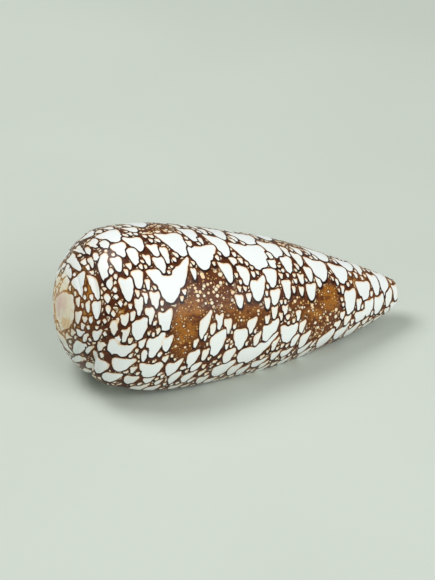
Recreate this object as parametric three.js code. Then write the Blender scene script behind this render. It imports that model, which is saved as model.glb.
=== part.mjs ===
// A cone shell lying on its mouth: one coiled piece of shell with a low domed spire, a rounded
// shoulder, a long tapering body whorl and a narrow mouth slit along the whole of the body.
// Millimetres, +Z up. The coil is worked out about its own axis and then laid down to rest.
//
// A place on the coil has two numbers. Turns count back from the lip: 0 at the lip, 1 where the
// whorl passes under the lip, more than 1 inside. Rows run from the front end, along the body,
// over the shoulder and round the spire to the apex.
import * as THREE from "three";
import { mergeVertices } from "three/addons/utils/BufferGeometryUtils.js";

// Driving dimensions of the coil
const LENGTH = 60; // apex to front end, along the axis
const BELLY = 16; // widest station, from the apex
const WHORL_RATIO = 1.31; // each whorl outgrows the one before it by this
const SHOULDER_RADIUS = 13.8; // shoulder line at the lip
const WHORL_STEP = 3.85; // how far the lip stands off the whorl that it passes over
const STEP_FADE = 3.2; // radius under which that step shrinks with the tapering body

// Body outline, half a turn back from the lip: [distance from apex, radius], front end first
const BODY_OUTLINE = [
  [LENGTH, 2],
  [58.6, 2.6],
  [55.5, 3.85],
  [48, 6.55],
  [37.5, 9.8],
  [27, 11.75],
  [BELLY, 13.1],
  [5, 12.75],
];

// Shoulder: how far its curve holds the dome's direction and the belly's, as shares of its span
const DOME_HOLD = 0.35;
const BELLY_HOLD = 0.45;
const RISE_HOLD = 0.9; // most of the rise to the belly that the dome's direction may take up

// Spire: the dome that the whorls lie on, and the grooves between them
const DOME_SLOPE = 0.05; // drop near the apex, for each millimetre of radius
const DOME_DROP = 3.6; // further drop at DOME_RADIUS
const DOME_RADIUS = 10.7;
const DOME_POWER = 3.1;
const GROOVE_DEPTH = 0.2;
const GROOVE_SHARE = 0.1; // groove width as a share of a whorl
const GROOVE_FADE = 0.93; // turns back from the lip where the outermost groove starts

// Mouth: the wall, the lip's edge and how far the passage runs back into the shell
const WALL = 1.3;
const LIP_EDGE = 0.7;
const LIP_THICKENS = 0.08; // turns back from the lip to the full wall
const LIP_BULGE = 0.014; // turns that the middle of the lip stands forward
const LIP_REACH = 0.15; // turns over which that bulge dies away
const MOUTH_HOLLOW = 0.35; // share of the step by which the inner side of the mouth sinks
const HOLLOW_FROM = 0.72; // turns back where it starts to sink
const HOLLOW_LENGTH = 12; // length over which it sinks, in front of the belly and behind the tip
const PASSAGE_TURNS = 0.75;

// Resting pose: how the coil is turned so that the lip and the belly meet the ground
const ROLL_DEG = 132.5; // about the axis
const TILT_DEG = 8.6; // front end down
const RUB = 0.15; // depth of the flats that wear has rubbed where the shell rests

// Facets
const COLUMNS = 54; // per turn
const BODY_ROWS = 16;
const SHOULDER_ROWS = 5;
const SPIRE_TURNS = 8;
const SPIRE_SHARES = [0, 0.16, 0.6]; // rows across each whorl of the spire
const ROOF_ROWS = 2; // rows of the last whorl's ramp that roof the passage
const TOLERANCE = 1e-4;

const TURN = 2 * Math.PI;
const { degToRad, lerp, smoothstep } = THREE.MathUtils;
const outline = BODY_OUTLINE.map(([station, radius]) => new THREE.Vector2(station, radius));
const bodyCurve = new THREE.SplineCurve(outline);
const BODY_END = (outline.length - 2) / (outline.length - 1); // the belly's place along that curve

const shrink = (turns) => WHORL_RATIO ** -turns;

// Sections in the half-plane of the axis: x is the distance from the apex, y the radius

function bodyPoint(turns, share) {
  const middle = bodyCurve.getPoint(share);
  const step = WHORL_STEP * (1 - Math.exp(-middle.y / STEP_FADE));
  const pastBelly = smoothstep(middle.x, BELLY, BELLY + HOLLOW_LENGTH);
  const beforeTip = smoothstep(LENGTH - middle.x, 0, HOLLOW_LENGTH);
  const hollow = MOUTH_HOLLOW * step * pastBelly * beforeTip;
  const wound = (t) => middle.y + step * (0.5 - t) - hollow * smoothstep(t, HOLLOW_FROM, 1);
  const radius = turns <= 1 ? wound(turns) : wound(1) * shrink(turns - 1);
  return new THREE.Vector2(middle.x, radius);
}

function domeDepth(radius) {
  return DOME_SLOPE * radius + DOME_DROP * (radius / DOME_RADIUS) ** DOME_POWER;
}

function domeDirection(radius) {
  const steepening = ((DOME_DROP * DOME_POWER) / DOME_RADIUS) * (radius / DOME_RADIUS) ** (DOME_POWER - 1);
  return new THREE.Vector2(DOME_SLOPE + steepening, 1).normalize();
}

// The innermost whorl runs out to nothing, so its inner edge closes into a ring round the apex
function spirePoint(turns, whorls) {
  const innermost = Math.max(whorls - (SPIRE_TURNS - 1), 0);
  const wound = whorls - innermost * turns;
  const radius = SHOULDER_RADIUS * shrink(turns + wound);
  const groove = Math.round(wound);
  const opened = groove === 0 ? smoothstep(turns, GROOVE_FADE, 1) : 1;
  const depth = opened * GROOVE_DEPTH * Math.min(1, radius / DOME_RADIUS);
  const across = (wound - groove) / GROOVE_SHARE;
  return new THREE.Vector2(domeDepth(radius) + depth * Math.exp(-across * across), radius);
}

function shoulderPoint(turns, share) {
  const belly = bodyPoint(turns, BODY_END);
  const edge = spirePoint(turns, 0);
  const direction = domeDirection(edge.y);
  const span = belly.distanceTo(edge);
  const rise = Math.max(belly.y - edge.y, TOLERANCE);
  const held = Math.min(DOME_HOLD * span, (RISE_HOLD * rise) / direction.y);
  const leave = direction.multiplyScalar(held).add(edge);
  const arrive = new THREE.Vector2(belly.x - BELLY_HOLD * span, belly.y);
  return new THREE.CubicBezierCurve(belly, arrive, leave, edge).getPoint(share);
}

// Each row gives its section point for the turns back from the lip, and how far its lip stands forward
function makeRows() {
  const rows = [];
  for (let k = 0; k < BODY_ROWS; k++) {
    const share = k / BODY_ROWS;
    const forward = LIP_BULGE * Math.sin(Math.PI * share);
    rows.push({ forward, section: (turns) => bodyPoint(turns, BODY_END * share) });
  }
  for (let k = 0; k < SHOULDER_ROWS; k++) {
    rows.push({ forward: 0, section: (turns) => shoulderPoint(turns, k / SHOULDER_ROWS) });
  }
  for (let whorl = 0; whorl < SPIRE_TURNS; whorl++) {
    for (const share of SPIRE_SHARES) {
      rows.push({ forward: 0, section: (turns) => spirePoint(turns, whorl + share) });
    }
  }
  rows.push({ forward: 0, section: (turns) => spirePoint(turns, SPIRE_TURNS) });
  return rows;
}

const rows = makeRows();
const SHOULDER_LINE = BODY_ROWS + SHOULDER_ROWS; // row of the shoulder line
const SUTURE = SHOULDER_LINE + SPIRE_SHARES.length; // row where the last whorl meets the one inside it
const ROOF_END = SHOULDER_LINE + ROOF_ROWS;

// A section point turned about the axis, which is +X. Growth runs from +Z towards -Y.
function around(section, turns) {
  const angle = TURN * turns;
  return new THREE.Vector3(section.x, section.y * Math.sin(angle), section.y * Math.cos(angle));
}

function lipTurns(column, row) {
  const turns = column / COLUMNS;
  return turns - row.forward * (1 - smoothstep(turns, 0, LIP_REACH));
}

function outerPoint(column, k) {
  const turns = lipTurns(column, rows[k]);
  return around(rows[k].section(turns), turns);
}

// The inside of the wall, at right angles to the outside, or straight in at the front end
function innerPoint(column, k) {
  const turns = lipTurns(column, rows[k]);
  const here = rows[k].section(turns);
  const before = rows[Math.max(k - 1, 0)].section(turns);
  const along = rows[k + 1].section(turns).sub(before).normalize();
  const inward = k === 0 ? new THREE.Vector2(0, -1) : new THREE.Vector2(-along.y, along.x);
  const wall = lerp(LIP_EDGE, WALL, smoothstep(column / COLUMNS, 0, LIP_THICKENS));
  return around(inward.multiplyScalar(Math.min(wall, here.y / 2)).add(here), turns);
}

const range = (first, last) => Array.from({ length: last - first + 1 }, (_, i) => first + i);
const outerColumn = (column, lastRow) => range(0, lastRow).map((k) => outerPoint(column, k));

// The passage's roof comes down to the whorl inside it, one row below the suture
function innerColumn(column) {
  const points = range(0, ROOF_END).map((k) => innerPoint(column, k));
  points.push(outerPoint(column + COLUMNS, SHOULDER_LINE - 1));
  return points;
}

// A band of triangles between two lines of points, which may differ in number
function band(triangles, left, right) {
  let i = 0;
  let j = 0;
  while (i < left.length - 1 || j < right.length - 1) {
    const stepRight = i === left.length - 1 || (j + 1) * (left.length - 1) <= (i + 1) * (right.length - 1);
    if (j < right.length - 1 && stepRight) {
      triangles.push([left[i], right[j], right[j + 1]]);
      j += 1;
    } else {
      triangles.push([left[i], right[j], left[i + 1]]);
      i += 1;
    }
  }
}

function outside(triangles) {
  for (let column = 0; column < COLUMNS; column++) {
    band(triangles, outerColumn(column, rows.length - 1), outerColumn(column + 1, rows.length - 1));
  }
  const apex = new THREE.Vector3(0, 0, 0);
  for (let column = 0; column < COLUMNS; column++) {
    const ring = [outerPoint(column, rows.length - 1), outerPoint(column + 1, rows.length - 1)];
    triangles.push([ring[0], ring[1], apex]);
  }
}

const passageEnd = Math.round(PASSAGE_TURNS * COLUMNS);

function passage(triangles) {
  for (let column = 0; column < passageEnd; column++) {
    const core = column + COLUMNS;
    band(triangles, innerColumn(column + 1), innerColumn(column));
    band(triangles, outerColumn(core, SHOULDER_LINE - 1), outerColumn(core + 1, SHOULDER_LINE - 1));
  }
  band(triangles, innerColumn(0), outerColumn(0, SUTURE));
  band(triangles, outerColumn(passageEnd + COLUMNS, SHOULDER_LINE - 1), innerColumn(passageEnd));
}

// The front end: the edge of the wall beside the passage, then the solid end of the pillar
function frontEnd(triangles) {
  const wallColumns = range(0, passageEnd);
  const outerEdge = wallColumns.map((column) => outerPoint(column, 0));
  const innerEdge = wallColumns.map((column) => innerPoint(column, 0));
  band(triangles, outerEdge, innerEdge);
  const middle = new THREE.Vector3(LENGTH, 0, 0);
  const spoke = [middle, outerPoint(passageEnd + COLUMNS, 0), innerEdge.at(-1), outerEdge.at(-1)];
  const first = outerPoint(passageEnd + 1, 0);
  for (let i = 0; i < spoke.length - 1; i++) {
    triangles.push([spoke[i], first, spoke[i + 1]]);
  }
  for (let column = passageEnd + 1; column < passageEnd + COLUMNS; column++) {
    triangles.push([middle, outerPoint(column + 1, 0), outerPoint(column, 0)]);
  }
}

function withoutSlivers(geometry) {
  const merged = mergeVertices(geometry, TOLERANCE);
  const corners = merged.getIndex().array;
  const kept = [];
  for (let i = 0; i < corners.length; i += 3) {
    const [a, b, c] = corners.slice(i, i + 3);
    if (a !== b && b !== c && c !== a) {
      kept.push(a, b, c);
    }
  }
  merged.setIndex(kept);
  return merged;
}

// Rubbed flat where it rests, and moved so that the origin is under the middle of its box
function settle(geometry) {
  const positions = geometry.getAttribute("position");
  geometry.computeBoundingBox();
  const ground = geometry.boundingBox.min.z + RUB;
  for (let i = 0; i < positions.count; i++) {
    positions.setZ(i, Math.max(positions.getZ(i), ground));
  }
  geometry.computeBoundingBox();
  const middle = geometry.boundingBox.getCenter(new THREE.Vector3());
  geometry.translate(-middle.x, -middle.y, -ground);
}

function makeShell() {
  const triangles = [];
  outside(triangles);
  passage(triangles);
  frontEnd(triangles);
  const loose = new THREE.BufferGeometry().setFromPoints(triangles.flat());
  const geometry = withoutSlivers(loose);
  geometry.rotateX(degToRad(ROLL_DEG));
  geometry.rotateY(degToRad(TILT_DEG));
  settle(geometry);
  geometry.computeVertexNormals();
  const material = new THREE.MeshStandardMaterial({ color: 0xb98a58, roughness: 0.3, metalness: 0 });
  const shell = new THREE.Mesh(geometry, material);
  shell.name = "shell";
  return shell;
}

const coneShell = new THREE.Group();
coneShell.add(makeShell());

export default coneShell;
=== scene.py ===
import math
import random

import bpy
import numpy as np
from mathutils import Matrix, Vector, noise


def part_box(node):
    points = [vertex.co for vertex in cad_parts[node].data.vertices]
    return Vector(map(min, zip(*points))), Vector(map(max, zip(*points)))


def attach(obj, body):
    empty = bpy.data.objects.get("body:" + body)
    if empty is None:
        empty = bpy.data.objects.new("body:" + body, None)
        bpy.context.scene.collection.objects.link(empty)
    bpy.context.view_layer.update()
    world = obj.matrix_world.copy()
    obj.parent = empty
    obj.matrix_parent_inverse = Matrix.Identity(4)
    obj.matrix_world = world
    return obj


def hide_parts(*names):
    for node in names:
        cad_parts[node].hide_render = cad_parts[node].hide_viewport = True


# The looks of a cone shell: the solid's coil again, finely meshed, with its tented markings as colour.
# Lengths are in millimetres where nothing else is said. Meshes, lamps and the camera take metres.

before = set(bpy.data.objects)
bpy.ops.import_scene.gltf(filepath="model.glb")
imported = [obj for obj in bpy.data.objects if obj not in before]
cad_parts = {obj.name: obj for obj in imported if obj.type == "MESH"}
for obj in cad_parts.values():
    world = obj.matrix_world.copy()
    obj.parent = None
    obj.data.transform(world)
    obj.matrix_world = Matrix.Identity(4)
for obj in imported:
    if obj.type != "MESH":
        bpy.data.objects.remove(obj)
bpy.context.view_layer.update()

MM = 0.001
TINY = 1e-12

# Coil: the driving dimensions of the solid
LENGTH = 60
BELLY = 16
WHORL_RATIO = 1.31
SHOULDER_RADIUS = 13.8
WHORL_STEP = 3.85
STEP_FADE = 3.2
BODY_OUTLINE = np.array([
    (LENGTH, 2),
    (58.6, 2.6),
    (55.5, 3.85),
    (48, 6.55),
    (37.5, 9.8),
    (27, 11.75),
    (BELLY, 13.1),
    (5, 12.75),
])
BODY_END = (len(BODY_OUTLINE) - 2) / (len(BODY_OUTLINE) - 1)
DOME_HOLD = 0.35
BELLY_HOLD = 0.45
RISE_HOLD = 0.9
DOME_SLOPE = 0.05
DOME_DROP = 3.6
DOME_RADIUS = 10.7
DOME_POWER = 3.1
GROOVE_DEPTH = 0.2
GROOVE_SHARE = 0.1
GROOVE_FADE = 0.93
WALL = 1.3
LIP_EDGE = 0.7
LIP_THICKENS = 0.08
LIP_BULGE = 0.014
LIP_REACH = 0.15
MOUTH_HOLLOW = 0.35
HOLLOW_FROM = 0.72
HOLLOW_LENGTH = 12
PASSAGE_TURNS = 0.75
ROLL_DEG = 132.5
TILT_DEG = 8.6
RUB = 0.15

# The shoulder swells a little where the lip meets it, as the outline in the photograph does
LIP_SWELL = 1.1
SWELL_REACH = 0.14
SWELL_ROWS = 3
SWELL_ANGLE = math.radians(34)

# Mesh: rows from the front end to the apex, columns back from the lip
COLUMNS = 280
PASSAGE_COLUMNS = round(PASSAGE_TURNS * COLUMNS)
PASSAGE_STRIDE = 2
BODY_ROWS = 170
SHOULDER_ROWS = 35
SPIRE_TURNS = 8
SPIRE_SHARES = (0, 0.04, 0.09, 0.16, 0.26, 0.4, 0.56, 0.72, 0.86, 0.95)
INSIDE_STRIDE = 5
ROOF_SHARES = (0, 4, 6)
OUTLINE_SAMPLES = 4000
SHOULDER_LINE = BODY_ROWS + SHOULDER_ROWS
SUTURE = SHOULDER_LINE + len(SPIRE_SHARES)
PILLAR_TOP = SHOULDER_LINE - SHOULDER_ROWS // 5
LAST_ROW = SHOULDER_LINE + SPIRE_TURNS * len(SPIRE_SHARES)
LIP_NOSE = (0.25, 0.5, 0.75)
NOSE_OUT = 0.22
PATTERNED_NOSE = 2
LIP_TURNS = np.arange(COLUMNS + 1) / COLUMNS
PASSAGE = np.arange(0, PASSAGE_COLUMNS + 1, PASSAGE_STRIDE)
PILLAR_ROWS = np.append(np.arange(0, PILLAR_TOP, INSIDE_STRIDE), PILLAR_TOP)
INSIDE_ROWS = np.append(np.arange(0, SHOULDER_LINE, INSIDE_STRIDE), SHOULDER_LINE + np.array(ROOF_SHARES))

# Texture map: (left, bottom, right, top) of each part's rectangle
OUTSIDE_MAP = (0.01, 0.01, 0.99, 0.7)
APEX_MAP = (0.01, 0.7, 0.99, 0.71)
LIP_MAP = (0.01, 0.715, 0.9, 0.75)
END_MAP = (0.92, 0.715, 0.99, 0.75)
END_SPOT = (0.95, 0.73)
INSIDE_MAP = (0.01, 0.76, 0.49, 0.99)
PILLAR_MAP = (0.51, 0.76, 0.99, 0.99)
RUN_STRIDE = 20

# Camera: as in the photograph, whose frame is 435 by 580 pixels
FRAME_WIDTH = 435
FRAME_HEIGHT = 580
SENSOR = 36
HORIZON_DROP = 1436
VIEW_ELEVATION = math.radians(31)
VIEW_AZIMUTH = math.radians(-19.58)
VIEW_DISTANCE = 421.9
VIEW_TARGET = np.array([4.36, 19.24, 0])
FOCAL_PIXELS = HORIZON_DROP / math.tan(VIEW_ELEVATION)
NEAREST_SEEN = 10

# What the camera sees: points in front of all others in a spot, and not at a grazing angle
SPOT_PIXELS = 3
GRAZING = 0.08
DEPTH_SLACK = 1
SLANT_SLACK = 0.25

# Shape of a tent, and the fields of distances to the tents' edges; a wobble is (height, lumps per mm)
SEED = 7
FIELDS = 6
FAR = 9.0
DEEPEST = 3
FOOT = 0.34
ROUNDING = 3.2
TENT_GROW = 1.1
WOBBLES = ((0.11, 1.1), (0.06, 2.7))
LOBE_REACH = 0.75
LOBE_MARGIN = 1.2
LOBE_DEPTH = 2.0
SAME_SIDE = 0.2
SLOPE_STEP = 0.02
LEAST_SLOPE = 0.001
LEAN_LIMIT = 1.3
NEIGHBOUR = 0.7

# How tents lean: by their height in the photograph's frame
LEVEL_PIXEL = 292
LEAN_PIXELS = 45
UPPER_TIP = 0.5
UPPER_SLANT = 0.08
LOWER_TIP = 0.2
LOWER_SLANT = 0.3
DEEPEST_DIP = 0.4

# The tents that show: how much larger than read, how varied, and how cream the small ones are
SEEN_GROW = 1.09
LOW_GROW = 1.17
LOW_PIXEL = 325
TIP_PIXEL = 335
LEAST_SCALE = 2.0
SEEN_SPREAD = 0.2
SEEN_CREAM = 0.75
SEEN_CREAM_FALL = 0.25

# Scattered tents: (smallest and largest width, room needed as a share of the width, tries) of each pass
FILL_PASSES = ((2.4, 5.5, 0.5, 4000), (1.4, 2.4, 0.47, 8000), (0.85, 1.3, 0.44, 40000))
SEEN_FILL = 1
FILL_SPREAD = 0.4
FILL_CREAM = 1
FILL_CREAM_FALL = 0.3
SMALL_BIAS = 2
SHORTEST = 0.9
STRETCH = 0.5
EDGE_FACING = 0.5
OPEN_GROUND = 0.3
LIP_CLEAR = 10

# Spire: a ring is the distance from the axis, and OFF_SPIRE on the body
OFF_SPIRE = 50
WORN_RADIUS = 2.4
DOME_PATCH = (65, 310, 10, 19.5)
DOME_LIMIT = 9
DOME_SCALE = 2.5
RAGGED = (0.7, 0.7)
BLUSH_PATCH = (61, 303, 7, 13)
BLUSH_FACING = -0.1
BLUSH_FADE = (-0.9, 0.2)
BLUSH_RING = (0.5, 2.4)
AT_APEX = {"blush": 1}

# The tents that show, as (x, y, width, height) in pixels of the photograph's frame.
# A tent is a list of such lobes, mostly one. Two more numbers give a lobe's own tip and slant.
TENTS = [
    # spire and shoulder
    [(96, 310, 11, 18, 0, 0)], [(87, 307, 6, 12)], [(94, 289, 10, 22, 0.6, 0.3)],
    [(79, 283, 14, 13, 0, 0), (81, 292, 6, 10, 0, 0)], [(65, 283, 10, 8)], [(67, 273, 7, 8)],
    [(77, 318, 8, 13, 0, -0.2)], [(92, 298, 5, 8)], [(96, 257, 6, 11)], [(91, 263, 5, 10)],
    [(83, 263, 6, 5)], [(89, 250, 5, 8)], [(88, 350, 7, 9)], [(100, 347, 7, 10)], [(85, 338, 5, 9)],
    [(77, 360, 5, 10)], [(61, 339, 5, 12)],
    [(73, 263, 7, 13)], [(79, 251, 5, 9)], [(92, 245, 10, 8)], [(102, 246, 10, 8)],
    [(97, 336, 10, 10)], [(79, 348, 12, 13)], [(80, 333, 10, 7)], [(87, 237, 12, 6)],
    [(97, 364, 8, 13, 0.35, 0.1)], [(110, 309, 7, 10)], [(112, 378, 18, 8)], [(90, 320, 5, 8)],
    # left of the orange band
    [(130, 230, 14, 5)], [(108, 237, 22, 11)], [(134, 243, 19, 14)], [(170, 243, 27, 22, 0.7, -0.1)],
    [(187, 234, 17, 12)], [(119, 250, 16, 13)], [(133, 257, 13, 16)], [(152, 250, 12, 13)],
    [(165, 255, 9, 17)], [(147, 259, 8, 12)], [(160, 266, 13, 16)], [(117, 265, 11, 14)],
    [(104, 266, 12, 29, -0.35, -0.1)], [(138, 279, 13, 17)], [(127, 289, 16, 23)],
    [(169, 287, 29, 28), (181, 275, 19, 22, -0.2, -0.6), (155, 277, 17, 14)],
    [(155, 299, 12, 18)], [(111, 283, 8, 12)], [(148, 285, 6, 11)], [(138, 294, 5, 10)],
    [(145, 299, 7, 11)], [(139, 307, 11, 17)], [(150, 316, 11, 17)], [(164, 322, 16, 22, 0.1, -0.2)],
    [(133, 316, 8, 12)], [(140, 330, 18, 19, -0.1, -0.3)], [(124, 320, 11, 13)], [(126, 335, 9, 14)],
    [(114, 328, 8, 15)], [(155, 347, 18, 20), (167, 345, 11, 13)],
    [(112, 346, 11, 18), (125, 350, 19, 12)], [(142, 345, 8, 8)], [(145, 355, 8, 12)],
    [(122, 365, 22, 12, -0.2, -0.2)], [(150, 371, 24, 14, 0.1, -0.1)],
    [(172, 368, 15, 13)], [(165, 359, 7, 7)],
    [(121, 303, 6, 7)], [(129, 266, 6, 7)], [(116, 276, 5, 6)], [(111, 272, 6, 7)],
    [(127, 273, 5, 7)], [(133, 370, 7, 6)], [(124, 373, 6, 5)], [(183, 369, 7, 7)],
    [(130, 380, 13, 7)], [(148, 381, 11, 5)], [(174, 379, 11, 10)],
    # right of the orange band
    [(202, 254, 33, 19, -0.1, -0.2), (202, 260, 21, 17, 0, 0)],
    [(215, 233, 18, 10)], [(217, 245, 19, 18)],
    [(188, 244, 7, 10)], [(200, 240, 6, 7)], [(194, 274, 6, 12)], [(225, 272, 13, 19, 0.5, 0.05)],
    [(193, 359, 13, 16)], [(205, 354, 8, 12)],
    [(217, 344, 17, 20, -0.15, -0.4)], [(204, 328, 11, 19, -0.3, -0.5)],
    [(213, 329, 7, 11)], [(220, 321, 9, 16, 0, 0)], [(228, 328, 8, 15, 0.1, 0)], [(195, 368, 11, 7)],
    [(221, 371, 20, 10)], [(229, 357, 12, 12)], [(196, 343, 5, 8)], [(201, 348, 5, 7)],
    [(206, 337, 5, 7)], [(242, 238, 25, 10)], [(248, 255, 36, 24, 0.5, -0.05)], [(270, 249, 22, 14)],
    [(286, 264, 13, 17)], [(271, 263, 10, 10)], [(269, 255, 8, 7)], [(297, 259, 11, 13)],
    [(317, 269, 21, 21)], [(316, 254, 23, 9)], [(309, 274, 9, 14)], [(301, 279, 7, 11)],
    [(319, 282, 7, 10)], [(271, 277, 15, 18)],
    [(258, 288, 18, 23, -0.1, -0.3)], [(244, 275, 13, 18, 0.35, 0.3)],
    [(234, 263, 8, 10)], [(287, 289, 10, 18)], [(275, 298, 11, 15)], [(312, 292, 11, 16)],
    [(301, 291, 6, 10)], [(267, 304, 7, 11)], [(274, 313, 7, 14)], [(285, 310, 7, 11)],
    [(298, 315, 6, 10)], [(281, 317, 5, 9)], [(268, 320, 6, 10)], [(239, 301, 9, 13, 0.2, 0)],
    [(252, 326, 10, 13)], [(269, 334, 14, 20), (275, 326, 8, 12)], [(288, 333, 18, 17, 0, 0)],
    [(302, 328, 7, 11)], [(240, 340, 15, 18, 0, 0)], [(257, 340, 7, 13)],
    [(254, 353, 32, 17, -0.35, -0.45)], [(275, 345, 7, 11)], [(295, 341, 8, 10)], [(304, 341, 10, 13)],
    [(325, 340, 16, 12)], [(285, 251, 8, 9)], [(297, 251, 10, 7)], [(275, 356, 9, 8)],
    [(286, 353, 12, 7)], [(303, 349, 12, 7)], [(258, 363, 15, 6)],
    # front end
    [(339, 273, 17, 16)], [(343, 264, 18, 9)], [(356, 267, 10, 10)], [(340, 333, 13, 10)],
    [(350, 332, 14, 9)], [(337, 326, 7, 10)], [(347, 321, 7, 12)], [(351, 303, 12, 23)],
    [(359, 304, 6, 12)], [(364, 291, 14, 17)], [(361, 316, 14, 12), (369, 308, 10, 16)],
    [(374, 283, 10, 19)], [(382, 281, 12, 22)], [(379, 304, 11, 18)], [(389, 298, 8, 16)],
    [(396, 293, 6, 16)], [(343, 290, 4, 8)], [(343, 316, 5, 9)], [(387, 311, 7, 7)],
]

# Where the brown ground lies open between the tents: (x, y, half width, half height) in pixels, then
# how chestnut it is, from 0 for orange to 1. Later patches lie over earlier ones.
BAND_PATCHES = [
    (212, 288, 28, 22, 0.9), (262, 318, 16, 12, 0.6), (240, 312, 26, 15, 0.35), (183, 345, 14, 16, 0.1),
    (191, 322, 22, 25, 0), (302, 306, 14, 18, 0.7), (322, 306, 20, 30, 0.85), (324, 326, 20, 19, 0.75),
    (329, 296, 11, 15, 0), (312, 315, 13, 8, 0.15), (152, 228, 24, 8, 0.9), (283, 243, 32, 7, 0.9),
]
# And on the sides that don't show: (distance from the apex, half width)
BAND_RINGS = [(26, 4.5), (45, 5)]

# Where the lines between the tents are golden: (x, y, half width, half height) in pixels
GOLD_PATCHES = [
    (360, 278, 13, 14), (372, 298, 8, 6), (391, 283, 6, 8), (84, 300, 13, 36), (124, 314, 7, 9),
    (67, 325, 9, 10),
]

# Edges of these patches as shares of their size, and how bands wander where they don't show
PATCH_FADE = (-0.3, 0.15)
HIDDEN_FADE = (-0.15, 0.05)
WANDER_OFTEN = 0.12
WANDER_SHIFT = 4
RING_NARROW = 0.7
RING_WIDEN = 1.2
RING_FADE = (0.6, 1.1)
HIDDEN_CHESTNUT = 0.4
CHESTNUT_VARIES = 1.5
GOLD_FADE = (-0.6, 0.3)
GOLD_STATIONS = (47, 54)
HIDDEN_GOLD = 0.6

# Growth lines: (height, lines per turn, place in the noise) of each kind, and the radii where they fade
GROWTH_WAVES = ((1.0, 90, (0.3, 0.7)), (0.6, 260, (1.3, 2.7)))
GROWTH_RADII = (2.5, 9)


def srgb(red, green, blue):
    """A colour from its 0 to 255 values, as the linear values that materials take."""
    def linear(value):
        value /= 255
        return value / 12.92 if value <= 0.04045 else ((value + 0.055) / 1.055) ** 2.4
    return (linear(red), linear(green), linear(blue), 1)


WHITE = srgb(236, 240, 238)
CREAM = srgb(240, 227, 198)
FRINGE = srgb(240, 196, 138)
AMBER = srgb(112, 60, 22)
GOLD_BROWN = srgb(178, 122, 40)
LINE_BROWN = srgb(44, 19, 8)
DARK_BROWN = srgb(80, 38, 15)
RED_BROWN = srgb(98, 48, 14)
CHESTNUT = srgb(92, 46, 24)
ORANGE = srgb(158, 98, 30)
GOLD = srgb(214, 166, 98)
DOT_CREAM = srgb(242, 214, 172)
PINK = srgb(214, 182, 170)
EARLY_CREAM = srgb(230, 220, 194)
SPIRE_LINE = srgb(74, 40, 16)
INSIDE_WHITE = srgb(238, 234, 226)
FLOOR_DARK = srgb(196, 203, 193)
FLOOR_PALE = srgb(201, 208, 198)

# Materials. A pair is where a change begins and where it is full, a noise is (size, detail, roughness),
# and a bump is (strength, height).
LINE = 0.3
LINE_SOFT = 0.04
WHITE_EDGE = (-0.02, -0.09)
SHRINK_RING = (10.0, 7.0)
SPIRE_SHRINK = 0.04
CLEAR_OF_TENTS = (0.12, 0.28)
SMALL_CELL = 0.85
CELL_EDGE = (0.12, 0.2)
CELL_CHANCE = (0.4, 0.45)
STREAKS = 0.22
MARBLE_NOISE = (2.4, 5.0, 0.65)
MARBLE_FADE = (0.32, 0.54)
BESIDE_TENT = (1.1, 0.2)
BESIDE_SHARE = 0.65
# Dots: (size of their cells, colour, smallest radius, added radius on chestnut), radii as shares of a cell
DOT_LAYERS = ((0.5, GOLD, 0.07, 0.06), (0.8, DOT_CREAM, -0.04, 0.24), (1.15, CREAM, -0.12, 0.24))
DOT_VARIES = 0.32
DOT_RIM = (0.2, 0.06)
DOT_RIM_SHARE = 0.75
DOT_EDGE = (0.02, -0.06)
WORN_RING = (10.5, 7.0)
MOTTLE_NOISE = (1.4, 5.0, 0.6)
MOTTLE_FADE = (0.42, 0.6)
MOTTLE_SHARE = 0.85
HALO_LEAN = (0.2, 1.1)
HALO_GROWS = 0.3
HALO_LEAST = 0.18
HALO_SOLID = 0.55
AMBER_LEAN = (0.1, -0.8)
AMBER_SHARE = 0.7
GOLD_RING = (6.2, 4.4)
FRINGE_EDGE = (-0.4, -0.04)
FRINGE_LEAN = (0.45, -0.6)
FRINGE_SHARE = 0.75
EARLY_RING = (7.4, 4.2)
STAIN_NOISE = (1.8, 5.0, 0.6)
STAIN_FADE = (0.54, 0.68)
STAIN_ON_GOLD = 0.15
STAIN_SHARE = 0.6
BLUSH_NOISE = (3.0, 2.0, 0.5)
BLUSH_CLOUD = (0.2, 0.5)
GLOSS_NOISE = (3.0, 3.0, 0.5)
GLOSS_FADE = (0.2, 0.8)
ROUGHNESS = 0.24
ROUGHNESS_VARIES = 0.12
SPECULAR = 0.22
GRAIN_NOISE = (0.5, 3.0, 0.5)
GRAIN_BUMP = (0.12, 0.05)
GROWTH_BUMP = (0.35, 0.05)
FLOOR_NOISE = (90, 2.0, 0.5)
FLOOR_FADE = (0.3, 0.7)
FLOOR_ROUGHNESS = 0.8

# Sockets of a mix node that carry colours
MIX_FIRST = 6
MIX_SECOND = 7
MIX_RESULT = 2

# Studio: lamps as (name, place and size in metres, power in watts)
KEY_LAMP = ("key", (-0.22, 0.16, 0.48), 0.28, 1.85)
FILL_LAMP = ("fill", (0.24, -0.5, 0.36), 0.5, 3.05)
WORLD_TINT = (0.95, 1.0, 0.98, 1)
WORLD_STRENGTH = 0.3
FLOOR_HALF = 3000


# Coil

def smooth(value, low, high):
    share = np.clip((value - low) / (high - low), 0, 1)
    return share * share * (3 - 2 * share)


def shrink(turns):
    return WHORL_RATIO ** -np.asarray(turns, float)


def outline_at(share):
    """Point of the body outline, a Catmull-Rom curve with equal parameter steps."""
    last = len(BODY_OUTLINE) - 1
    place = last * np.asarray(share, float)
    start = np.minimum(np.floor(place).astype(int), last)
    part = (place - start)[..., None]
    before, here, after, beyond = (BODY_OUTLINE[np.clip(start + step, 0, last)] for step in (-1, 0, 1, 2))
    leave = (after - before) / 2
    arrive = (beyond - here) / 2
    cubic = (2 * here - 2 * after + leave + arrive) * part ** 3
    square = (3 * after - 3 * here - 2 * leave - arrive) * part ** 2
    return cubic + square + leave * part + here


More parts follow.
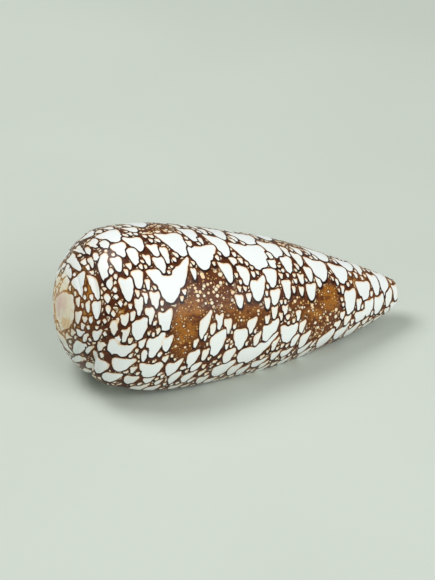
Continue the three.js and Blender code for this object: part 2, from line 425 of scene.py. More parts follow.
def body_section(turns, share):
    middle = outline_at(share)
    station, half_way = middle[..., 0], middle[..., 1]
    step = WHORL_STEP * (1 - np.exp(-half_way / STEP_FADE))
    past_belly = smooth(station, BELLY, BELLY + HOLLOW_LENGTH)
    before_tip = smooth(LENGTH - station, 0, HOLLOW_LENGTH)
    hollow = MOUTH_HOLLOW * step * past_belly * before_tip
    outer_turns = np.minimum(turns, 1)
    radius = half_way + step * (0.5 - outer_turns) - hollow * smooth(outer_turns, HOLLOW_FROM, 1)
    return station + 0 * turns, radius * shrink(np.maximum(turns - 1, 0))


def dome_depth(radius):
    return DOME_SLOPE * radius + DOME_DROP * (radius / DOME_RADIUS) ** DOME_POWER


def spire_section(turns, whorls):
    innermost = np.maximum(whorls - (SPIRE_TURNS - 1), 0)
    wound = whorls - innermost * turns
    radius = SHOULDER_RADIUS * shrink(turns + wound)
    groove = np.round(wound)
    opened = np.where(groove == 0, smooth(turns, GROOVE_FADE, 1), 1)
    depth = opened * GROOVE_DEPTH * np.minimum(1, radius / DOME_RADIUS)
    across = (wound - groove) / GROOVE_SHARE
    return dome_depth(radius) + depth * np.exp(-across * across), radius


def shoulder_section(turns, share):
    """A Bezier curve from the belly, level with the axis, to the dome, along its slope."""
    belly_s, belly_r = body_section(turns, np.full_like(turns, BODY_END))
    edge_s, edge_r = spire_section(turns, np.zeros_like(turns))
    steepening = DOME_DROP * DOME_POWER / DOME_RADIUS * (edge_r / DOME_RADIUS) ** (DOME_POWER - 1)
    slope = DOME_SLOPE + steepening
    run = np.hypot(slope, 1)
    span = np.hypot(belly_s - edge_s, belly_r - edge_r)
    held = np.minimum(DOME_HOLD * span, RISE_HOLD * np.maximum(belly_r - edge_r, 0) * run)
    leave_s, leave_r = edge_s + slope / run * held, edge_r + held / run
    weights = [(1 - share) ** 3, 3 * (1 - share) ** 2 * share, 3 * (1 - share) * share ** 2, share ** 3]
    stations = [belly_s, belly_s - BELLY_HOLD * span, leave_s, edge_s]
    radii = [belly_r, belly_r, leave_r, edge_r]
    return sum(w * s for w, s in zip(weights, stations)), sum(w * r for w, r in zip(weights, radii))


def even_shares():
    """Places along the body outline that lie at even distances."""
    fine = np.linspace(0, BODY_END, OUTLINE_SAMPLES)
    points = outline_at(fine)
    run = np.concatenate([[0], np.cumsum(np.hypot(*np.diff(points, axis=0).T))])
    return np.interp(np.linspace(0, run[-1], BODY_ROWS + 1)[:-1], run, fine)


def swell_share(rows):
    """How much each row takes part in the swelling of the shoulder beside the lip."""
    row = np.arange(rows)[:, None]
    rise = smooth(row, SHOULDER_LINE - SWELL_ROWS, SUTURE - SWELL_ROWS)
    return rise * (1 - smooth(row, SUTURE - SWELL_ROWS, SUTURE))


def coil(turns):
    """Stations, radii and turns of every row at these turns back from the lip."""
    turns = np.asarray(turns, float)[None, :]
    shares = even_shares()[:, None]
    forward = LIP_BULGE * np.sin(math.pi * shares / BODY_END)
    body_turns = turns - forward * (1 - smooth(turns, 0, LIP_REACH))
    steps = (np.arange(SHOULDER_ROWS) / SHOULDER_ROWS)[:, None]
    whorls = [whorl + share for whorl in range(SPIRE_TURNS) for share in SPIRE_SHARES]
    whorls = np.array(whorls + [SPIRE_TURNS])[:, None]
    body = body_section(body_turns, shares + 0 * turns)
    shoulder = shoulder_section(turns, steps)
    spire = spire_section(turns, whorls)
    station, radius = (np.concatenate(parts) for parts in zip(body, shoulder, spire))
    rest = np.repeat(turns, len(steps) + len(whorls), axis=0)
    swell = LIP_SWELL * swell_share(len(station)) * (1 - smooth(turns, 0, SWELL_REACH))
    station = station - swell * math.sin(SWELL_ANGLE)
    radius = radius + swell * math.cos(SWELL_ANGLE)
    return station, radius, np.concatenate([body_turns, rest])


def wall_inside(turns):
    """The inside of the wall, at right angles to the outside, or straight in at the front end."""
    station, radius, bent = coil(turns)
    along_s, along_r = np.gradient(station, axis=0), np.gradient(radius, axis=0)
    length = np.hypot(along_s, along_r) + TINY
    inward_s, inward_r = -along_r / length, along_s / length
    inward_s[0], inward_r[0] = 0, -1
    wall = LIP_EDGE + (WALL - LIP_EDGE) * smooth(np.asarray(turns), 0, LIP_THICKENS)
    wall = np.minimum(wall[None, :], radius / 2)
    return station + inward_s * wall, radius + inward_r * wall, bent


def laid_down(station, radius, turns):
    """Points of the coil, rolled onto the mouth and tilted so that the front end comes down."""
    angle = math.tau * turns
    across, up = radius * np.sin(angle), radius * np.cos(angle)
    roll, tilt = math.radians(ROLL_DEG), math.radians(TILT_DEG)
    side = across * math.cos(roll) - up * math.sin(roll)
    up = across * math.sin(roll) + up * math.cos(roll)
    ahead = station * math.cos(tilt) + up * math.sin(tilt)
    up = up * math.cos(tilt) - station * math.sin(tilt)
    return np.stack([ahead, side, up], axis=-1)


# Mesh

def unit(vectors):
    return vectors / (np.linalg.norm(vectors, axis=-1, keepdims=True) + TINY)


def above_floor(points):
    """Flattens what would reach below the floor: the small resting flats."""
    points[..., 2] = np.maximum(points[..., 2], 0)
    return points


def resting_move():
    """The way from where the coil winds to where the solid lies."""
    points = laid_down(*coil(LIP_TURNS)).reshape(-1, 3)
    low, high = points.min(axis=0), points.max(axis=0)
    corners = np.array(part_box("shell")) / MM
    move = corners.mean(axis=0) - (low + high) / 2
    move[2] = -low[2] - RUB
    return move


class Skin:
    """Collects points, triangles and their places on the texture map."""

    def __init__(self, move):
        self.points, self.triangles, self.map_places = [], [], []
        self.count = 0
        self.move = move

    def laid(self, station, radius, turns):
        return above_floor(laid_down(station, radius, turns) + self.move)

    def add(self, points):
        numbers = np.arange(self.count, self.count + points[..., 0].size).reshape(points.shape[:-1])
        self.points.append(points.reshape(-1, 3))
        self.count += points[..., 0].size
        return numbers

    def grid(self, numbers, places):
        for corners in (((0, 0), (0, 1), (1, 1)), ((0, 0), (1, 1), (1, 0))):
            rows, columns = numbers.shape
            cut = [(slice(r, rows - 1 + r), slice(c, columns - 1 + c)) for r, c in corners]
            self.triangles.append(np.stack([numbers[s].ravel() for s in cut], axis=-1))
            self.map_places.append(np.stack([places[s].reshape(-1, 2) for s in cut], axis=1))

    def band(self, left, right, left_places, right_places):
        """Triangles between two lines of points, which may differ in number."""
        i = j = 0
        triangles, places = [], []
        while i < len(left) - 1 or j < len(right) - 1:
            right_next = i == len(left) - 1 or (j + 1) * (len(left) - 1) <= (i + 1) * (len(right) - 1)
            if j < len(right) - 1 and right_next:
                triangles.append((left[i], right[j], right[j + 1]))
                places.append((left_places[i], right_places[j], right_places[j + 1]))
                j += 1
            else:
                triangles.append((left[i], right[j], left[i + 1]))
                places.append((left_places[i], right_places[j], left_places[i + 1]))
                i += 1
        self.triangles.append(np.array(triangles))
        self.map_places.append(np.array(places))

    def finish(self):
        points = np.concatenate(self.points)
        triangles = np.concatenate(self.triangles)
        places = np.concatenate(self.map_places)
        a, b, c = triangles.T
        kept = (a != b) & (b != c) & (c != a)
        return points, triangles[kept], places[kept]


def map_grid(rows, columns, rectangle):
    """Even places in a rectangle of the texture map, or at the given shares of its height."""
    left, bottom, right, top = rectangle
    heights = np.linspace(0, 1, rows) if np.isscalar(rows) else np.asarray(rows)
    across, up = np.meshgrid(np.linspace(left, right, columns), bottom + heights * (top - bottom))
    return np.stack([across, up], axis=-1)


def left_side(rows, rectangle):
    left, bottom, _, top = rectangle
    return map_grid(rows, 1, (left, bottom, left, top))[:, 0]


def add_outside(skin):
    """The outside with the apex. On the spire, the end of each whorl is the start of the next one."""
    outer = skin.laid(*coil(LIP_TURNS))
    numbers = skin.add(outer)
    whorl = len(SPIRE_SHARES)
    numbers[SHOULDER_LINE:LAST_ROW - whorl + 1, COLUMNS] = numbers[SUTURE:, 0]
    numbers[LAST_ROW - whorl:, COLUMNS] = numbers[LAST_ROW, 0]
    steps = np.linalg.norm(np.diff(outer[:, ::RUN_STRIDE], axis=0), axis=-1).mean(axis=1)
    run = np.concatenate([[0], np.cumsum(steps)])
    skin.grid(numbers, map_grid(run / run[-1], COLUMNS + 1, OUTSIDE_MAP))
    apex = skin.add(skin.laid(np.zeros(1), np.zeros(1), np.zeros(1)))
    tip_row = np.stack([numbers[LAST_ROW], np.full(COLUMNS + 1, apex[0])])
    skin.grid(tip_row, map_grid(2, COLUMNS + 1, APEX_MAP))
    return outer, numbers


def add_pillar(skin, numbers):
    """The older whorl, which the passage winds round."""
    points = skin.laid(*coil((PASSAGE + COLUMNS) / COLUMNS))[PILLAR_ROWS]
    pillar = np.empty(points.shape[:2], int)
    pillar[:, 0] = numbers[PILLAR_ROWS, COLUMNS]
    pillar[:, 1:] = skin.add(points[:, 1:])
    places = map_grid(len(PILLAR_ROWS), len(PASSAGE), PILLAR_MAP)
    skin.grid(pillar[:, 1:], places[:, 1:])
    edge = numbers[:PILLAR_TOP + 1, COLUMNS]
    skin.band(edge, pillar[:, 1], left_side(len(edge), PILLAR_MAP), places[:, 1])
    return pillar, places


def add_wall(skin, pillar, pillar_places):
    """The inside of the wall, which meets the pillar above and at the end of the passage."""
    points = skin.laid(*wall_inside(PASSAGE / COLUMNS))[INSIDE_ROWS]
    wall = np.concatenate([skin.add(points), pillar[-1:]])
    places = map_grid(len(wall), len(PASSAGE), INSIDE_MAP)
    skin.grid(wall[:, ::-1], places[:, ::-1])
    skin.band(pillar[:, -1], wall[:, -1], pillar_places[:, -1], places[:, -1])
    return wall, points[:, 0]


def add_lip(skin, outer, numbers, pillar, wall, wall_edge):
    """A rounded nose between the outside's edge and the inside's."""
    edge_points = outer[INSIDE_ROWS, 0]
    ahead = unit(edge_points - outer[INSIDE_ROWS, 1])
    nose = [edge_points + (wall_edge - edge_points) * share
            + ahead * NOSE_OUT * math.sin(math.pi * share) for share in LIP_NOSE]
    nose = skin.add(above_floor(np.stack(nose, axis=1)))
    rim = nose[:, :PATTERNED_NOSE], np.repeat(numbers[INSIDE_ROWS, :1], PATTERNED_NOSE, axis=1)
    nose = np.concatenate([nose, np.repeat(pillar[-1:, :1], len(LIP_NOSE), axis=1)])
    places = map_grid(len(nose), len(LIP_NOSE) + 2, LIP_MAP)
    edge = numbers[:SUTURE + 1, 0]
    skin.band(nose[:, 0], edge, places[:, 1], left_side(len(edge), LIP_MAP))
    lip = np.concatenate([nose, wall[:, :1]], axis=1)
    skin.grid(lip[:, ::-1], places[:, :0:-1])
    return nose, rim


def add_front_end(skin, numbers, pillar, wall, nose):
    """The edge of the wall beside the passage, then the full end of the pillar."""
    places = map_grid(2, PASSAGE_COLUMNS + 1, END_MAP)
    skin.band(numbers[0, :PASSAGE_COLUMNS + 1], wall[0], places[0], places[1, ::PASSAGE_STRIDE])
    middle = skin.add(skin.laid(np.full(1, LENGTH), np.zeros(1), np.zeros(1)))[0]
    lip = np.concatenate([[numbers[0, 0]], nose[0], [wall[0, 0]]])
    triangles = [(lip[0], lip[i], lip[i + 1]) for i in range(1, len(lip) - 1)]
    ring = np.concatenate([numbers[0, PASSAGE_COLUMNS:], pillar[0, 1:]])
    spokes = [middle, pillar[0, -1], wall[0, -1], ring[0]]
    triangles += [(before, ring[1], after) for before, after in zip(spokes, spokes[1:])]
    triangles += [(middle, ring[i + 1], ring[i]) for i in range(1, len(ring) - 1)]
    skin.triangles.append(np.array(triangles))
    skin.map_places.append(np.full((len(triangles), 3, 2), END_SPOT))


def build_skin():
    """The whole skin, the outside's points, and which points of the lip look like which of its edge."""
    skin = Skin(resting_move())
    outer, numbers = add_outside(skin)
    pillar, pillar_places = add_pillar(skin, numbers)
    wall, wall_edge = add_wall(skin, pillar, pillar_places)
    nose, rim = add_lip(skin, outer, numbers, pillar, wall, wall_edge)
    add_front_end(skin, numbers, pillar, wall, nose)
    return skin, outer, rim


# Markings

class Outside:
    """The outside's points with their directions: growth, towards the front end, and out."""

    def __init__(self, grid):
        back = np.gradient(grid, axis=1)
        to_apex = np.gradient(grid, axis=0)
        out = np.cross(back, to_apex)
        self.points = grid.reshape(-1, 3)
        self.growth = unit(-back).reshape(-1, 3)
        self.front = unit(-to_apex).reshape(-1, 3)
        self.out = unit(out).reshape(-1, 3)


def uneven(points, height, often):
    """Noise of this height at each point, often being lumps for each millimetre."""
    return np.array([height * noise.noise(Vector(p * often)) for p in points])


def view_axes():
    az, el = VIEW_AZIMUTH, VIEW_ELEVATION
    back = np.array([math.sin(az) * math.cos(el), -math.cos(az) * math.cos(el), math.sin(el)])
    right = np.array([math.cos(az), math.sin(az), 0])
    return right, np.cross(back, right), back


def pixels_of(points):
    """Where points fall in the photograph's frame."""
    right, up, back = view_axes()
    away = points - (VIEW_TARGET + VIEW_DISTANCE * back)
    scale = FOCAL_PIXELS / -(away @ back)
    return np.stack([FRAME_WIDTH / 2 + away @ right * scale, FRAME_HEIGHT / 2 - away @ up * scale], axis=-1)


def seen_from_camera(outside, pixels):
    """Which points face the camera with nothing in front of them, and how squarely they face it."""
    _, _, back = view_axes()
    away = VIEW_TARGET + VIEW_DISTANCE * back - outside.points
    depth = np.linalg.norm(away, axis=-1)
    facing = np.einsum("ij,ij->i", outside.out, away) / depth
    spots = np.floor(pixels / SPOT_PIXELS).astype(int)
    spots = np.clip(spots, 0, FRAME_HEIGHT // SPOT_PIXELS)
    closest = np.full((FRAME_HEIGHT, FRAME_HEIGHT), np.inf)
    np.minimum.at(closest, (spots[:, 0], spots[:, 1]), depth)
    behind = depth - closest[spots[:, 0], spots[:, 1]]
    slack = DEPTH_SLACK + SLANT_SLACK / np.maximum(facing, GRAZING)
    return (facing > GRAZING) & (behind < slack), facing


def tent_level(x, y, tip, slant, dip):
    """Below 0 inside a tent: a slanted upper edge with a dip, two sides that close in, and a short foot."""
    edges = (
        slant * x - y + dip * np.maximum(1 - np.abs(x), 0),
        (2 * x + (1 - tip - FOOT) * y) / (1 + tip + FOOT),
        ((1 + tip - FOOT) * y - 2 * x) / (1 - tip + FOOT),
        y,
    )
    return sum(np.maximum(edge, 0) ** ROUNDING for edge in edges) ** (1 / ROUNDING) - 1


class Markings:
    """Distances to the tents' edges, in several fields so that neighbours never share one."""

    def __init__(self, outside, worn):
        self.outside = outside
        count = len(outside.points)
        self.wobble = sum(uneven(outside.points, *wobble) for wobble in WOBBLES)
        self.fields = np.full((FIELDS, count), FAR)
        self.fields[0] = np.clip(worn + self.wobble, -DEEPEST, FAR)
        self.nearest = self.fields[0].copy()
        self.cream = np.zeros(count)
        self.lean = np.zeros(count)

    def lobe(self, centre, width, height, tip, slant, dip):
        """Points near one lobe, with their distance to its edge and their place along it."""
        side = self.outside
        offset = side.points - side.points[centre]
        reach = LOBE_REACH * max(width, height) + LOBE_MARGIN
        near = np.nonzero(np.einsum("ij,ij->i", offset, offset) < reach * reach)[0]
        near = near[side.out[near] @ side.out[centre] > SAME_SIDE]
        near = near[np.abs(offset[near] @ side.out[centre]) < LOBE_DEPTH]
        x = offset[near] @ side.front[centre]
        y = offset[near] @ side.growth[centre]

        def level(x, y):
            return tent_level(x / (width / 2) / TENT_GROW, y / (height / 2) / TENT_GROW, tip, slant, dip)

        here = level(x, y)
        slope = np.hypot(level(x + SLOPE_STEP, y) - here, level(x, y + SLOPE_STEP) - here) / SLOPE_STEP
        distance = np.clip(here / (slope + LEAST_SLOPE), -DEEPEST, DEEPEST)
        return near, distance, np.clip(y / (height / 2), -LEAN_LIMIT, LEAN_LIMIT)

    def tent(self, lobes, cream):
        """Adds a tent of one or more lobes to the field that has most room for it."""
        shapes = [self.lobe(*lobe) for lobe in lobes]
        near = np.unique(np.concatenate([shape[0] for shape in shapes]))
        distance = np.full(len(near), FAR)
        lean = np.zeros(len(near))
        for points, values, along in shapes:
            spot = np.searchsorted(near, points)
            closer = values < distance[spot]
            lean[spot[closer]] = along[closer]
            distance[spot[closer]] = values[closer]
        distance = distance + self.wobble[near]
        close = near[distance < NEIGHBOUR]
        free = [field[close].min() if len(close) else FAR for field in self.fields]
        field = self.fields[int(np.argmax(free))]
        field[near] = np.minimum(field[near], distance)
        closer = distance < self.nearest[near]
        changed = near[closer]
        self.nearest[changed] = distance[closer]
        self.cream[changed] = cream
        self.lean[changed] = lean[closer]


def ellipse(pixels, patch):
    """Below 0 inside an ellipse of the photograph's frame, 1 at twice its size."""
    x, y, wide, high = patch
    return np.hypot((pixels[:, 0] - x) / wide, (pixels[:, 1] - y) / high) - 1


def worn_apex(outside, pixels, seen, ring):
    """Distance to the ragged edge of the worn dome at the apex, below 0 on the dome."""
    dome = np.where(seen & (ring < DOME_LIMIT), DOME_SCALE * ellipse(pixels, DOME_PATCH), FAR)
    dome = np.minimum(dome, ring - WORN_RADIUS)
    return dome + uneven(outside.points, *RAGGED)


def tent_lean(y):
    """Tip and slant by height: tents lean to the front end on the upper side, away from it on the lower."""
    lean = float(np.clip((LEVEL_PIXEL - y) / LEAN_PIXELS, -1, 1))
    return (UPPER_TIP * lean, UPPER_SLANT * lean) if lean > 0 else (LOWER_TIP * lean, LOWER_SLANT * lean)


def varied(values, spread, draw):
    return [value + spread * (draw.random() - 0.5) for value in values]


def seen_lobe(outside, pixels, seen, place, draw):
    """A lobe given by its place and size in the photograph, as a point and sizes on the shell."""
    x, y, wide, high, *own = place
    far = np.hypot(pixels[:, 0] - x, pixels[:, 1] - y) + np.where(seen, 0, FRAME_HEIGHT)
    centre = int(np.argmin(far))
    start = outside.points[centre]
    ends = pixels_of(np.array([start, start + outside.front[centre], start + outside.growth[centre]]))
    across = max(np.abs(ends[1, 0] - ends[0, 0]), LEAST_SCALE)
    along = max(np.abs(ends[2, 1] - ends[0, 1]), LEAST_SCALE)
    tip, slant = own or varied(tent_lean(y), SEEN_SPREAD, draw)
    dip = DEEPEST_DIP * draw.random()
    grow = LOW_GROW if y > LOW_PIXEL or x > TIP_PIXEL else SEEN_GROW
    return centre, grow * wide / across, grow * high / along, tip, slant, dip


def place_seen_tents(markings, pixels, seen, draw):
    for lobes in TENTS:
        placed = [seen_lobe(markings.outside, pixels, seen, place, draw) for place in lobes]
        size = max(lobe[1] for lobe in placed)
        markings.tent(placed, max(0, SEEN_CREAM - SEEN_CREAM_FALL * size) * draw.random())


def fill_places(seen, facing, ring, band):
    """Points where scattered tents of any size may stand, and points where only the smallest may too."""
    rows, columns = np.divmod(np.arange(len(ring)), COLUMNS + 1)
    beside_lip = (columns < LIP_CLEAR) | (columns > COLUMNS - LIP_CLEAR)
    junction = beside_lip & (rows > PILLAR_TOP) & (rows <= SUTURE)
    free = (columns < COLUMNS) & (ring > WORN_RADIUS) & (band < OPEN_GROUND) & ~junction
    loose = ~seen | (facing < EDGE_FACING) | (ring < OFF_SPIRE)
    return np.nonzero(free & loose)[0].tolist(), np.nonzero(free)[0].tolist()


def scatter_tents(markings, pixels, seen, places, draw):
    """Fills the room that is left, first with large tents and then with smaller ones."""
    any_size, smallest_too = places
    for smallest, largest, room, tries in FILL_PASSES:
        usable = smallest_too if smallest < SEEN_FILL else any_size
        for _ in range(tries):
            centre = draw.choice(usable)
            width = smallest + (largest - smallest) * draw.random() ** SMALL_BIAS
            stretch = SHORTEST + STRETCH * draw.random()
            height = pixels[centre, 1] if seen[centre] else LEVEL_PIXEL
            tip, slant = varied(tent_lean(height), FILL_SPREAD, draw)
            tone = draw.random()
            if markings.nearest[centre] > room * width:
                lobe = (centre, width, width * stretch, tip, slant, DEEPEST_DIP * tone)
                markings.tent([lobe], max(0, FILL_CREAM - FILL_CREAM_FALL * width) * tone)


def band_weight(outside, pixels, seen, facing, station):
    """1 where the orange-brown ground lies open, 0 where tents crowd it; and how chestnut it is."""
    count = len(outside.points)
    weight, chestnut = np.zeros(count), np.zeros(count)
    for *shape, dark in BAND_PATCHES:
        patch = np.where(seen, 1 - smooth(ellipse(pixels, shape), *PATCH_FADE), 0)
        weight = np.maximum(weight, patch)
        chestnut += patch * (dark - chestnut)
    hidden = np.where(seen, 1 - smooth(facing, *HIDDEN_FADE), 1)
    wander = uneven(outside.points, 1, WANDER_OFTEN)
    for ring, half in BAND_RINGS:
        half = half * (RING_NARROW + RING_WIDEN * np.abs(wander))
        away = np.abs(station + WANDER_SHIFT * wander - ring) / half
        weight = np.maximum(weight, hidden * (1 - smooth(away, *RING_FADE)))
    elsewhere = np.clip(HIDDEN_CHESTNUT + CHESTNUT_VARIES * wander, 0, 1)
    return weight, np.where(seen, chestnut, elsewhere)


def gold_weight(pixels, seen, station):
    """1 where the lines are golden: in a few patches and, out of sight, towards the front end."""
    weight = np.zeros(len(pixels))
    for patch in GOLD_PATCHES:
        weight = np.maximum(weight, np.where(seen, 1 - smooth(ellipse(pixels, patch), *GOLD_FADE), 0))
    return np.where(seen, weight, HIDDEN_GOLD * smooth(station, *GOLD_STATIONS))


def blush_weight(pixels, facing, ring):
    """1 where the worn apex is pink."""
    patch = np.where(facing > BLUSH_FACING, 1 - smooth(ellipse(pixels, BLUSH_PATCH), *BLUSH_FADE), 0)
    return np.maximum(patch, 1 - smooth(ring, *BLUSH_RING)) * (ring < OFF_SPIRE)


def mark(grid, station, ring):
    """The tents on the outside, and by name the other values that its colours depend on."""
    outside = Outside(grid)
    pixels = pixels_of(outside.points)
    seen, facing = seen_from_camera(outside, pixels)
    markings = Markings(outside, worn_apex(outside, pixels, seen, ring))
    draw = random.Random(SEED)
    place_seen_tents(markings, pixels, seen, draw)
    band, chestnut = band_weight(outside, pixels, seen, facing, station)
    scatter_tents(markings, pixels, seen, fill_places(seen, facing, ring, band), draw)
    return markings.fields, {
        "cream": markings.cream,
        "lean": markings.lean,
        "band": band,
        "chestnut": chestnut,
        "gold": gold_weight(pixels, seen, station),
        "blush": blush_weight(pixels, facing, ring),
    }


# Materials

class Graph:
    """Short calls for a material's nodes; each returns an output socket."""

    def __init__(self, name):
        self.material = bpy.data.materials.new(name)
        self.material.use_nodes = True
        self.tree = self.material.node_tree
        self.shader = self.tree.nodes["Principled BSDF"]

    def put(self, socket, value):
        if isinstance(value, bpy.types.NodeSocket):
            self.tree.links.new(value, socket)
        else:
            socket.default_value = value

    def set(self, name, value):
        self.put(self.shader.inputs[name], value)

    def math(self, operation, first, second=0.0):
        node = self.tree.nodes.new("ShaderNodeMath")
        node.operation = operation
        self.put(node.inputs[0], first)
        self.put(node.inputs[1], second)
        return node.outputs[0]

    def add(self, first, second):
        return self.math("ADD", first, second)

    def times(self, first, second):
        return self.math("MULTIPLY", first, second)

    def fade(self, value, low, high):
        """0 at low, 1 at high, smooth between."""
        node = self.tree.nodes.new("ShaderNodeMapRange")
        node.interpolation_type = "SMOOTHSTEP"
        self.put(node.inputs["Value"], value)
        self.put(node.inputs["From Min"], low)
        self.put(node.inputs["From Max"], high)
        return node.outputs[0]

    def mix(self, share, first, second):
        node = self.tree.nodes.new("ShaderNodeMix")
        node.data_type = "RGBA"
        self.put(node.inputs[0], share)
        self.put(node.inputs[MIX_FIRST], first)
        self.put(node.inputs[MIX_SECOND], second)
        return node.outputs[MIX_RESULT]

    def attribute(self, name):
        node = self.tree.nodes.new("ShaderNodeAttribute")
        node.attribute_name = name
        return node.outputs["Fac"]

    def texture(self, kind, size):
        """A texture that is fixed to the piece, with lumps or cells about size millimetres across."""
        node = self.tree.nodes.new(kind)
        self.put(node.inputs["Vector"], self.tree.nodes.new("ShaderNodeTexCoord").outputs["Object"])
        self.put(node.inputs["Scale"], 1 / (size * MM))
        return node

    def noise(self, size, detail, roughness):
        node = self.texture("ShaderNodeTexNoise", size)
        self.put(node.inputs["Detail"], detail)
        self.put(node.inputs["Roughness"], roughness)
        return node.outputs["Fac"]

    def cells(self, size):
        """Distance to the nearest of scattered points, in cells, and a random value of that point."""
        node = self.texture("ShaderNodeTexVoronoi", size)
        split = self.tree.nodes.new("ShaderNodeSeparateColor")
        self.tree.links.new(node.outputs["Color"], split.inputs[0])
        return node.outputs["Distance"], split.outputs[0]

    def small_cells(self, size):
        """Distance to the border between scattered cells, in cells, and a random value of the cell."""
        node = self.texture("ShaderNodeTexVoronoi", size)
        node.feature = "DISTANCE_TO_EDGE"
        return node.outputs["Distance"], self.cells(size)[1]

    def bump(self, height, strength, distance, under=None):
        node = self.tree.nodes.new("ShaderNodeBump")
        self.put(node.inputs["Height"], height)
        self.put(node.inputs["Strength"], strength)
        self.put(node.inputs["Distance"], distance * MM)
        if under is not None:
            self.put(node.inputs["Normal"], under)
        return node.outputs[0]


def tent_masks(graph, ring):
    """The nearest tent's edge distance, and where its white shows between the dark lines."""
    fields = [graph.attribute(f"tent_{i}") for i in range(FIELDS)]
    first = graph.math("MINIMUM", fields[0], fields[1])
    second = graph.math("MAXIMUM", fields[0], fields[1])
    for field in fields[2:]:
        second = graph.math("MINIMUM", second, graph.math("MAXIMUM", first, field))
        first = graph.math("MINIMUM", first, field)
    shrunk = graph.add(first, graph.times(graph.fade(ring, *SHRINK_RING), SPIRE_SHRINK))
    inside = graph.fade(shrunk, *WHITE_EDGE)
    apart = graph.fade(graph.math("SUBTRACT", second, first), LINE - LINE_SOFT, LINE + LINE_SOFT)
    return first, graph.times(inside, apart)


def crowded_ground(graph, clear):
    """Dark brown with small cream cells, between crowded tents."""
    edge, chance = graph.small_cells(SMALL_CELL)
    shown = graph.times(graph.fade(edge, *CELL_EDGE), graph.fade(chance, *CELL_CHANCE))
    return graph.mix(graph.times(shown, clear), DARK_BROWN, CREAM)


def band_ground(graph, first, clear):
    """Marbled orange-brown with dark-rimmed dots, in the bands."""
    streaks = graph.times(graph.attribute("growth"), STREAKS)
    marbling = graph.fade(graph.add(graph.noise(*MARBLE_NOISE), streaks), *MARBLE_FADE)
    chestnut = graph.attribute("chestnut")
    ground = graph.mix(chestnut, graph.mix(marbling, RED_BROWN, ORANGE), CHESTNUT)
    beside = graph.times(graph.fade(first, *BESIDE_TENT), BESIDE_SHARE)
    ground = graph.mix(beside, ground, DARK_BROWN)
    for size, colour, smallest, crowding in DOT_LAYERS:
        distance, chance = graph.cells(size)
        radius = graph.add(graph.times(chance, DOT_VARIES), smallest)
        radius = graph.add(radius, graph.times(chestnut, crowding))
        away = graph.math("SUBTRACT", distance, radius)
        rim = graph.times(graph.fade(away, *DOT_RIM), clear)
        dot = graph.times(graph.fade(away, *DOT_EDGE), clear)
        ground = graph.mix(graph.times(rim, DOT_RIM_SHARE), ground, DARK_BROWN)
        ground = graph.mix(dot, ground, colour)
    return ground


def line_colour(graph, lean, ring, gold, worn):
    """The lines round the tents: dark brown, amber along upper edges, golden near the apex."""
    upper = graph.times(graph.fade(lean, *AMBER_LEAN), AMBER_SHARE)
    line = graph.mix(upper, LINE_BROWN, AMBER)
    line = graph.mix(worn, line, SPIRE_LINE)
    line = graph.mix(graph.fade(ring, *GOLD_RING), line, GOLD_BROWN)
    return graph.mix(graph.times(gold, AMBER_SHARE), line, AMBER)


def ground_colour(graph, first, lean, ring, gold):
    """What lies between the tents, with a dark halo round each, wider below it than above."""
    clear = graph.fade(first, *CLEAR_OF_TENTS)
    band = graph.attribute("band")
    ground = graph.mix(band, crowded_ground(graph, clear), band_ground(graph, first, clear))
    worn = graph.fade(ring, *WORN_RING)
    mottled = graph.mix(graph.fade(graph.noise(*MOTTLE_NOISE), *MOTTLE_FADE), DARK_BROWN, GOLD_BROWN)
    golden = graph.times(graph.math("MAXIMUM", worn, gold), MOTTLE_SHARE)
    ground = graph.mix(golden, ground, mottled)
    halo = graph.add(graph.times(graph.fade(lean, *HALO_LEAN), HALO_GROWS), HALO_LEAST)
    shown = graph.fade(first, halo, graph.times(halo, HALO_SOLID))
    return graph.mix(shown, ground, line_colour(graph, lean, ring, gold, worn))


def tent_colour(graph, first, lean, ring, gold):
    """White to cream, with a golden fringe along the upper edge; worn and stained near the apex."""
    tent = graph.mix(graph.attribute("cream"), WHITE, CREAM)
    upper = graph.times(graph.fade(first, *FRINGE_EDGE), graph.fade(lean, *FRINGE_LEAN))
    tent = graph.mix(graph.times(upper, FRINGE_SHARE), tent, FRINGE)
    early = graph.fade(ring, *EARLY_RING)
    tent = graph.mix(early, tent, EARLY_CREAM)
    stained = graph.add(graph.noise(*STAIN_NOISE), graph.times(gold, STAIN_ON_GOLD))
    stain = graph.times(early, graph.fade(stained, *STAIN_FADE))
    return graph.mix(graph.times(stain, STAIN_SHARE), tent, GOLD)


def set_surface(graph):
    """Uneven gloss, growth lines and a fine grain."""
    gloss = graph.fade(graph.noise(*GLOSS_NOISE), *GLOSS_FADE)
    graph.set("Roughness", graph.add(graph.times(gloss, ROUGHNESS_VARIES), ROUGHNESS))
    graph.set("Specular IOR Level", SPECULAR)
    lines = graph.bump(graph.attribute("growth"), *GROWTH_BUMP)
    graph.set("Normal", graph.bump(graph.noise(*GRAIN_NOISE), *GRAIN_BUMP, lines))


def shell_material():
    graph = Graph("shell_porcelain")
    lean = graph.attribute("lean")
    ring = graph.attribute("ring")
    gold = graph.attribute("gold")
    first, white = tent_masks(graph, ring)
    ground = ground_colour(graph, first, lean, ring, gold)
    colour = graph.mix(white, ground, tent_colour(graph, first, lean, ring, gold))
    cloud = graph.fade(graph.noise(*BLUSH_NOISE), *BLUSH_CLOUD)
    colour = graph.mix(graph.times(graph.attribute("blush"), cloud), colour, PINK)
    colour = graph.mix(graph.attribute("inside"), colour, INSIDE_WHITE)
    graph.set("Base Color", colour)
    set_surface(graph)
    return graph.material


def floor_material():
    graph = Graph("floor_pale")
    cloud = graph.fade(graph.noise(*FLOOR_NOISE), *FLOOR_FADE)
    graph.set("Base Color", graph.mix(cloud, FLOOR_DARK, FLOOR_PALE))
    graph.set("Roughness", FLOOR_ROUGHNESS)
    return graph.material


# Scene

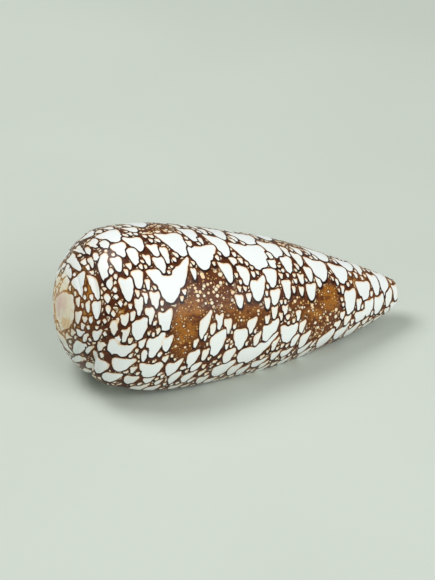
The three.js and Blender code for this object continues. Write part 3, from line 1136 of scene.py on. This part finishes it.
def linked(name, data):
    """A new object in the scene."""
    piece = bpy.data.objects.new(name, data)
    bpy.context.collection.objects.link(piece)
    return piece


def growth_lines(radius):
    """Fine uneven lines along the lip's former places, which fade on the small early whorls."""
    lines = [
        sum(height * noise.noise(Vector((turn * often, *place))) for height, often, place in GROWTH_WAVES)
        for turn in LIP_TURNS
    ]
    return np.array(lines)[None, :] * smooth(radius, *GROWTH_RADII)


def store_markings(mesh, outer, rim):
    """Gives every point the values that its colour depends on. The apex comes just after the outside."""
    station, radius, _ = coil(LIP_TURNS)
    on_spire = np.arange(len(radius))[:, None] >= SHOULDER_LINE
    ring = np.where(on_spire, radius, OFF_SPIRE).reshape(-1)
    apex = len(ring)

    def store(name, outside, at_apex, elsewhere):
        values = np.full(len(mesh.vertices), elsewhere, np.float32)
        values[:apex] = outside
        values[apex] = at_apex
        values[rim[0]] = values[rim[1]]
        mesh.attributes.new(name, "FLOAT", "POINT").data.foreach_set("value", values)

    fields, markings = mark(outer, station.reshape(-1), ring)
    for i, field in enumerate(fields):
        store(f"tent_{i}", field, field[-1], FAR)
    for name, values in markings.items():
        store(name, values, AT_APEX.get(name, 0), 0)
    store("growth", growth_lines(radius).reshape(-1), 0, 0)
    store("ring", ring, 0, OFF_SPIRE)
    store("inside", 0, 0, 1)


def make_shell():
    skin, outer, rim = build_skin()
    points, triangles, places = skin.finish()
    mesh = bpy.data.meshes.new("shell_skin")
    mesh.from_pydata((points * MM).tolist(), [], triangles.tolist())
    mesh.polygons.foreach_set("use_smooth", np.ones(len(triangles), bool))
    layer = mesh.uv_layers.new(name="OFBake")
    layer.data.foreach_set("uv", places.reshape(-1).astype(np.float32))
    store_markings(mesh, outer, rim)
    mesh.materials.append(shell_material())
    mesh.validate()
    shell = linked("shell_skin", mesh)
    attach(shell, "root")
    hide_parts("shell")


def make_floor():
    half = FLOOR_HALF * MM
    mesh = bpy.data.meshes.new("floor")
    corners = [(-half, -half, 0), (half, -half, 0), (half, half, 0), (-half, half, 0)]
    mesh.from_pydata(corners, [], [(0, 1, 2, 3)])
    mesh.materials.append(floor_material())
    floor = linked("floor", mesh)


def make_camera():
    right, up, back = view_axes()
    data = bpy.data.cameras.new("camera")
    data.sensor_width = SENSOR
    data.lens = FOCAL_PIXELS / FRAME_HEIGHT * SENSOR
    data.clip_start = NEAREST_SEEN * MM
    place = Matrix.Translation((VIEW_TARGET + VIEW_DISTANCE * back) * MM)
    turned = Matrix(np.stack([right, up, back], axis=1).tolist()).to_4x4()
    camera = linked("camera", data)
    camera.matrix_world = place @ turned
    bpy.context.scene.camera = camera


def make_lamp(name, place, size, power):
    data = bpy.data.lights.new(name, "AREA")
    data.size = size
    data.energy = power
    lamp = linked(name, data)
    lamp.location = place
    lamp.rotation_euler = (-Vector(place)).to_track_quat("-Z", "Y").to_euler()


def make_light():
    world = bpy.data.worlds.new("studio")
    world.use_nodes = True
    background = world.node_tree.nodes["Background"]
    background.inputs["Color"].default_value = WORLD_TINT
    background.inputs["Strength"].default_value = WORLD_STRENGTH
    bpy.context.scene.world = world
    make_lamp(*KEY_LAMP)
    make_lamp(*FILL_LAMP)
    bpy.context.scene.view_settings.view_transform = "Standard"


make_camera()
make_shell()
make_floor()
make_light()
